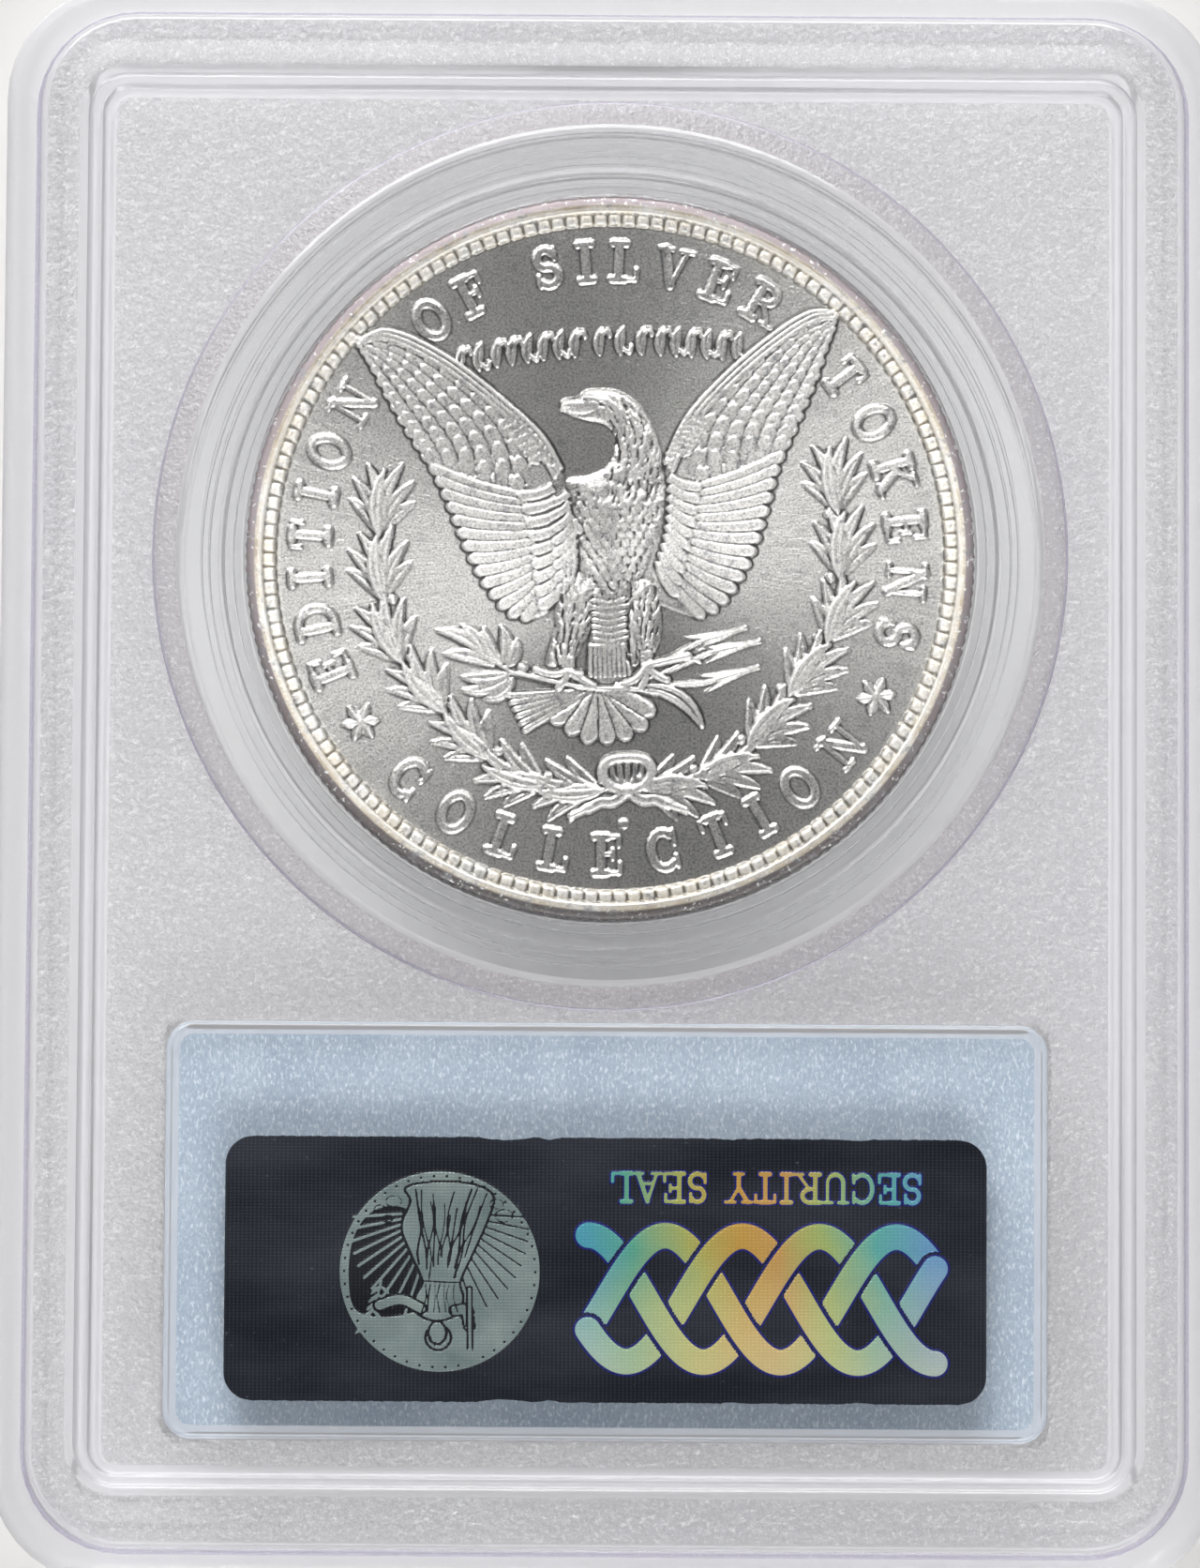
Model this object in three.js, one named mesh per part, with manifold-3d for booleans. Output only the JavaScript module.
// A graded coin slab: a coin and a paper label sealed between two clear moulded shells.
// Millimetres. +Z up: the holder lies flat with its back face up, its label end towards -Y.
// The origin is at the bottom centre of the holder.
import * as THREE from "three";
import { mergeVertices } from "three/addons/utils/BufferGeometryUtils.js";
import Module from "manifold-3d";

const wasm = await Module();
wasm.setup();

// Driving dimensions. Heights in the shells and inner pieces are measured from the seam.
const HOLDER_WIDTH = 63.5;
const HOLDER_LENGTH = 83.5;
const HOLDER_THICKNESS = 8;
const HOLDER_CORNER = 6;
const SEAM_HEIGHT = HOLDER_THICKNESS / 2;
const SEAM_GAP = 0.05;

const FLANGE_HEIGHT = 2.4;
const FLANGE_EDGE_ROUND = 0.6;
const RIM_WIDTH = 59.7;
const RIM_LENGTH = 79.9;
const RIM_CORNER = 5;
const RIM_HEIGHT = SEAM_HEIGHT;
const RIM_EDGE_ROUND = 0.35;

const FACE_WIDTH = 51.9;
const FACE_LENGTH = 70.8;
const FACE_CORNER = 0.8;
const FACE_HEIGHT = 2.7;
const RAIL_SPREAD = 1.4;

const WINDOW_HEIGHT = 3.2;
const COIN_Y = 11.75;
const COIN_WINDOW_RADIUS = 23.6;
const COIN_WINDOW_BEVEL = 1.2;
const LABEL_Y = -23.5;
const LABEL_WINDOW_WIDTH = 45.7;
const LABEL_WINDOW_LENGTH = 21.7;
const LABEL_WINDOW_CORNER = 1.5;
const LABEL_WINDOW_BEVEL = 0.35;

const CEILING_HEIGHT = 1.4;
const LAND_WIDTH = 2.8;
const CHANNEL_WIDTH = 1.65;
const CHANNEL_HEIGHT = 2.5;
const RIB_THICKNESS = 1.2;

const COIN_RADIUS = 19.05;
const COIN_THICKNESS = 2.4;
const COIN_RIM_WIDTH = 0.85;
const COIN_FIELD_DEPTH = 0.15;
const REED_COUNT = 190;
const REED_DEPTH = 0.1;
const COIN_TURN = THREE.MathUtils.degToRad(3.2);
const RING_OUTER_RADIUS = 22.35;
const RING_INNER_RADIUS = COIN_RADIUS + 0.1;
const RING_STEP_RADIUS = 20.45;
const RING_STEP_DEPTH = 0.1;
const RING_CLEARANCE = 0.15;

const PAPER_WIDTH = 45.4;
const PAPER_LENGTH = 21.2;
const PAPER_THICKNESS = 0.3;
const PAPER_CEILING_GAP = 0.1;
const PAPER_SIDE_GAP = 0.3;
const LEDGE_SIDE_GAP = 0.2;
const LEDGE_THICKNESS = 0.8;

const GROOVE_EDGE_OFFSET = 0.85;
const GROOVE_WIDTH = 1.1;
const GROOVE_DEPTH = 0.3;
const BEAD_CLEARANCE = 0.15;

const STICKER_WIDTH = 39.3;
const STICKER_LENGTH = 13.7;
const STICKER_THICKNESS = 0.15;
const STICKER_CORNER = 1.5;
const STICKER_Y = -25.5;

const ROUND_SEGMENTS = 72;
const CORNER_SEGMENTS = 4;
const OVERCUT = 1;

const MATERIALS = {
  shell: { color: 0xe4e7e9, roughness: 0.12, metalness: 0, transparent: true, opacity: 0.4 },
  ring: { color: 0xd8dcde, roughness: 0.25, metalness: 0, transparent: true, opacity: 0.5 },
  silver: { color: 0xd9d7d0, roughness: 0.28, metalness: 1 },
  paper: { color: 0x9baec0, roughness: 0.9, metalness: 0 },
  foil: { color: 0x161a24, roughness: 0.4, metalness: 0.3 },
};

// A rectangle with round corners, centred at (0, centreY).
function roundedRectangle(width, length, corner, centreY = 0) {
  const x = width / 2 - corner;
  const y = length / 2 - corner;
  const shape = new THREE.Shape();
  shape.absarc(x, centreY + y, corner, 0, Math.PI / 2);
  shape.absarc(-x, centreY + y, corner, Math.PI / 2, Math.PI);
  shape.absarc(-x, centreY - y, corner, Math.PI, 1.5 * Math.PI);
  shape.absarc(x, centreY - y, corner, 1.5 * Math.PI, 2 * Math.PI);
  return shape;
}

// A straight-sided slab of the outline between two heights.
function slab(shape, low, high) {
  const options = { depth: high - low, bevelEnabled: false, curveSegments: CORNER_SEGMENTS };
  return solid(new THREE.ExtrudeGeometry(shape, options).translate(0, 0, low));
}

// A slab whose edges at both ends are rounded inwards. Its low end is cut off by the caller.
function roundedSlab(shape, high, round) {
  const options = {
    depth: high,
    bevelThickness: round,
    bevelSize: round,
    bevelOffset: -round,
    bevelSegments: 2,
    curveSegments: CORNER_SEGMENTS,
  };
  return solid(new THREE.ExtrudeGeometry(shape, options).translate(0, 0, -round));
}

// A cut that has the given outline at its floor and widens by spread over the height above it.
function flaredCut(shape, floor, height, spread) {
  const options = {
    depth: OVERCUT,
    bevelThickness: height,
    bevelSize: spread,
    bevelSegments: 1,
    curveSegments: CORNER_SEGMENTS,
  };
  return solid(new THREE.ExtrudeGeometry(shape, options).translate(0, 0, floor + height));
}

// A body of revolution about a vertical axis through (0, centreY), from [radius, height] points
// that run upwards on the outside.
function turned(points, centreY) {
  const profile = points.map(([radius, height]) => new THREE.Vector2(radius, height));
  const geometry = new THREE.LatheGeometry(profile, ROUND_SEGMENTS);
  return solid(geometry.rotateX(Math.PI / 2).translate(0, centreY, 0));
}

// A turned ring of rectangular section.
function hoop(inner, outer, low, high, centreY) {
  const section = [[inner, low], [outer, low], [outer, high], [inner, high], [inner, low]];
  return turned(section, centreY);
}

// The closed solid of a geometry, ready to be joined and cut.
function solid(geometry) {
  geometry.deleteAttribute("normal");
  geometry.deleteAttribute("uv");
  const merged = mergeVertices(geometry, 1e-4);
  const vertProperties = merged.attributes.position.array;
  const triVerts = new Uint32Array(merged.index.array);
  return new wasm.Manifold(new wasm.Mesh({ numProp: 3, vertProperties, triVerts }));
}

// The named mesh of a solid, with its height measured from the seam.
function piece(name, body, material) {
  const { vertProperties, triVerts } = body.getMesh();
  const geometry = new THREE.BufferGeometry();
  geometry.setAttribute("position", new THREE.BufferAttribute(vertProperties, 3));
  geometry.setIndex(new THREE.BufferAttribute(triVerts, 1));
  geometry.computeVertexNormals();
  const mesh = new THREE.Mesh(geometry, new THREE.MeshStandardMaterial(material));
  mesh.name = name;
  mesh.position.z = SEAM_HEIGHT;
  return mesh;
}

// The outside of one half: edge flange, stacking rim, recessed face and its two raised windows.
function halfOutside() {
  const flange = roundedRectangle(HOLDER_WIDTH, HOLDER_LENGTH, HOLDER_CORNER);
  const rim = roundedRectangle(RIM_WIDTH, RIM_LENGTH, RIM_CORNER);
  const face = roundedRectangle(FACE_WIDTH, FACE_LENGTH, FACE_CORNER);
  const labelWindow = roundedRectangle(
    LABEL_WINDOW_WIDTH, LABEL_WINDOW_LENGTH, LABEL_WINDOW_CORNER, LABEL_Y);
  const coinWindow = [
    [0, CEILING_HEIGHT],
    [COIN_WINDOW_RADIUS, CEILING_HEIGHT],
    [COIN_WINDOW_RADIUS, FACE_HEIGHT],
    [COIN_WINDOW_RADIUS - COIN_WINDOW_BEVEL, WINDOW_HEIGHT],
    [0, WINDOW_HEIGHT],
  ];
  const belowSeam = new THREE.BoxGeometry(2 * HOLDER_WIDTH, 2 * HOLDER_LENGTH, HOLDER_THICKNESS)
    .translate(0, 0, SEAM_GAP / 2 - HOLDER_THICKNESS / 2);
  return roundedSlab(flange, FLANGE_HEIGHT, FLANGE_EDGE_ROUND)
    .add(roundedSlab(rim, RIM_HEIGHT, RIM_EDGE_ROUND))
    .subtract(flaredCut(face, FACE_HEIGHT, RIM_HEIGHT - FACE_HEIGHT, RAIL_SPREAD))
    .add(turned(coinWindow, COIN_Y))
    .add(roundedSlab(labelWindow, WINDOW_HEIGHT, LABEL_WINDOW_BEVEL))
    .subtract(solid(belowSeam));
}

// The hollow of one half, with a deeper channel under the stacking rim and the weld groove.
function halfHollow() {
  const width = HOLDER_WIDTH - 2 * LAND_WIDTH;
  const length = HOLDER_LENGTH - 2 * LAND_WIDTH;
  const corner = HOLDER_CORNER - LAND_WIDTH;
  const hollow = roundedRectangle(width, length, corner);
  const core = roundedRectangle(
    width - 2 * CHANNEL_WIDTH, length - 2 * CHANNEL_WIDTH, corner - CHANNEL_WIDTH);
  const channel = slab(hollow, -OVERCUT, CHANNEL_HEIGHT)
    .subtract(slab(core, CEILING_HEIGHT, CHANNEL_HEIGHT + OVERCUT));
  return channel.add(edgeLoop(0, -OVERCUT, GROOVE_DEPTH));
}

// A loop that follows the holder's edge: the weld groove, or the bead when inset from its walls.
function edgeLoop(inset, low, high) {
  const outer = GROOVE_EDGE_OFFSET + inset;
  const inner = GROOVE_EDGE_OFFSET + GROOVE_WIDTH - inset;
  const [outside, inside] = [outer, inner].map((offset) => roundedRectangle(
    HOLDER_WIDTH - 2 * offset, HOLDER_LENGTH - 2 * offset, HOLDER_CORNER - offset));
  return slab(outside, low, high).subtract(slab(inside, low - OVERCUT, high + OVERCUT));
}

// A rectangular wall round the label, from its inner size.
function labelWall(width, length, thickness, low) {
  const inside = roundedRectangle(width, length, LABEL_WINDOW_CORNER / 2, LABEL_Y);
  const outside = roundedRectangle(
    width + 2 * thickness, length + 2 * thickness, LABEL_WINDOW_CORNER / 2 + thickness, LABEL_Y);
  return slab(outside, low, CEILING_HEIGHT + OVERCUT)
    .subtract(slab(inside, low - OVERCUT, CEILING_HEIGHT));
}

// The wall round the coin ring's well.
function coinWell() {
  const inner = RING_OUTER_RADIUS + RING_CLEARANCE;
  return hoop(inner, inner + RIB_THICKNESS, SEAM_GAP / 2, CEILING_HEIGHT + OVERCUT, COIN_Y);
}

function halfShell() {
  return halfOutside().subtract(halfHollow()).add(coinWell());
}

// The back half: its label wall stands round the paper's edge.
function backShell() {
  const width = PAPER_WIDTH + 2 * PAPER_SIDE_GAP;
  const length = PAPER_LENGTH + 2 * PAPER_SIDE_GAP;
  const body = halfShell().add(labelWall(width, length, RIB_THICKNESS, SEAM_GAP / 2));
  return piece("back_shell", body, MATERIALS.shell);
}

// The underside half, turned over about Y. Its narrower wall reaches past the seam to carry
// the paper's edge.
function frontShell() {
  const inset = PAPER_SIDE_GAP - LEDGE_SIDE_GAP - LEDGE_THICKNESS;
  const paperLow = CEILING_HEIGHT - PAPER_CEILING_GAP - PAPER_THICKNESS;
  const ledge = labelWall(
    PAPER_WIDTH + 2 * inset, PAPER_LENGTH + 2 * inset, LEDGE_THICKNESS, -paperLow + PAPER_CEILING_GAP);
  const mesh = piece("front_shell", halfShell().add(ledge), MATERIALS.shell);
  mesh.rotation.y = Math.PI;
  return mesh;
}

function weldBead() {
  const half = GROOVE_DEPTH - BEAD_CLEARANCE;
  return piece("weld_bead", edgeLoop(BEAD_CLEARANCE, -half, half), MATERIALS.shell);
}

// The clear ring, thinner inside its step so that it grips only the coin's edge.
function coinRing() {
  const high = CEILING_HEIGHT - SEAM_GAP;
  const low = high - RING_STEP_DEPTH;
  const section = [
    [RING_INNER_RADIUS, -low],
    [RING_STEP_RADIUS, -low],
    [RING_STEP_RADIUS, -high],
    [RING_OUTER_RADIUS, -high],
    [RING_OUTER_RADIUS, high],
    [RING_STEP_RADIUS, high],
    [RING_STEP_RADIUS, low],
    [RING_INNER_RADIUS, low],
    [RING_INNER_RADIUS, -low],
  ];
  return piece("coin_ring", turned(section, COIN_Y), MATERIALS.ring);
}

// The coin's outline, notched by the reeds of its edge.
function reededOutline() {
  const points = [];
  for (let i = 0; i < 2 * REED_COUNT; i += 1) {
    const angle = (i * Math.PI) / REED_COUNT;
    const radius = COIN_RADIUS - (i % 2) * REED_DEPTH;
    points.push(new THREE.Vector2(radius * Math.cos(angle), radius * Math.sin(angle)));
  }
  return new THREE.Shape(points);
}

// The dish that sinks one side's field below its rim. Side is 1 for the upper face, -1 for the lower.
function fieldDish(side) {
  const rim = COIN_THICKNESS / 2;
  const floorRadius = COIN_RADIUS - COIN_RIM_WIDTH - COIN_FIELD_DEPTH;
  const mouthRadius = floorRadius + COIN_FIELD_DEPTH + OVERCUT;
  const floor = rim - COIN_FIELD_DEPTH;
  const section = [[0, floor], [floorRadius, floor], [mouthRadius, rim + OVERCUT], [0, rim + OVERCUT]];
  const upright = side > 0 ? section : section.map(([radius, height]) => [radius, -height]).reverse();
  return turned(upright, 0);
}

function coin() {
  const half = COIN_THICKNESS / 2;
  const body = slab(reededOutline(), -half, half).subtract(fieldDish(1)).subtract(fieldDish(-1));
  const mesh = piece("coin", body, MATERIALS.silver);
  mesh.rotation.z = COIN_TURN;
  mesh.position.y = COIN_Y;
  return mesh;
}

function labelInsert() {
  const high = CEILING_HEIGHT - PAPER_CEILING_GAP;
  const sheet = roundedRectangle(PAPER_WIDTH, PAPER_LENGTH, LABEL_WINDOW_CORNER / 2, LABEL_Y);
  return piece("label_insert", slab(sheet, high - PAPER_THICKNESS, high), MATERIALS.paper);
}

function securitySticker() {
  const low = WINDOW_HEIGHT + SEAM_GAP;
  const outline = roundedRectangle(STICKER_WIDTH, STICKER_LENGTH, STICKER_CORNER, STICKER_Y);
  return piece("security_sticker", slab(outline, low, low + STICKER_THICKNESS), MATERIALS.foil);
}

const coinSlab = new THREE.Group();
coinSlab.add(
  backShell(),
  frontShell(),
  weldBead(),
  coinRing(),
  coin(),
  labelInsert(),
  securitySticker(),
);

export default coinSlab;
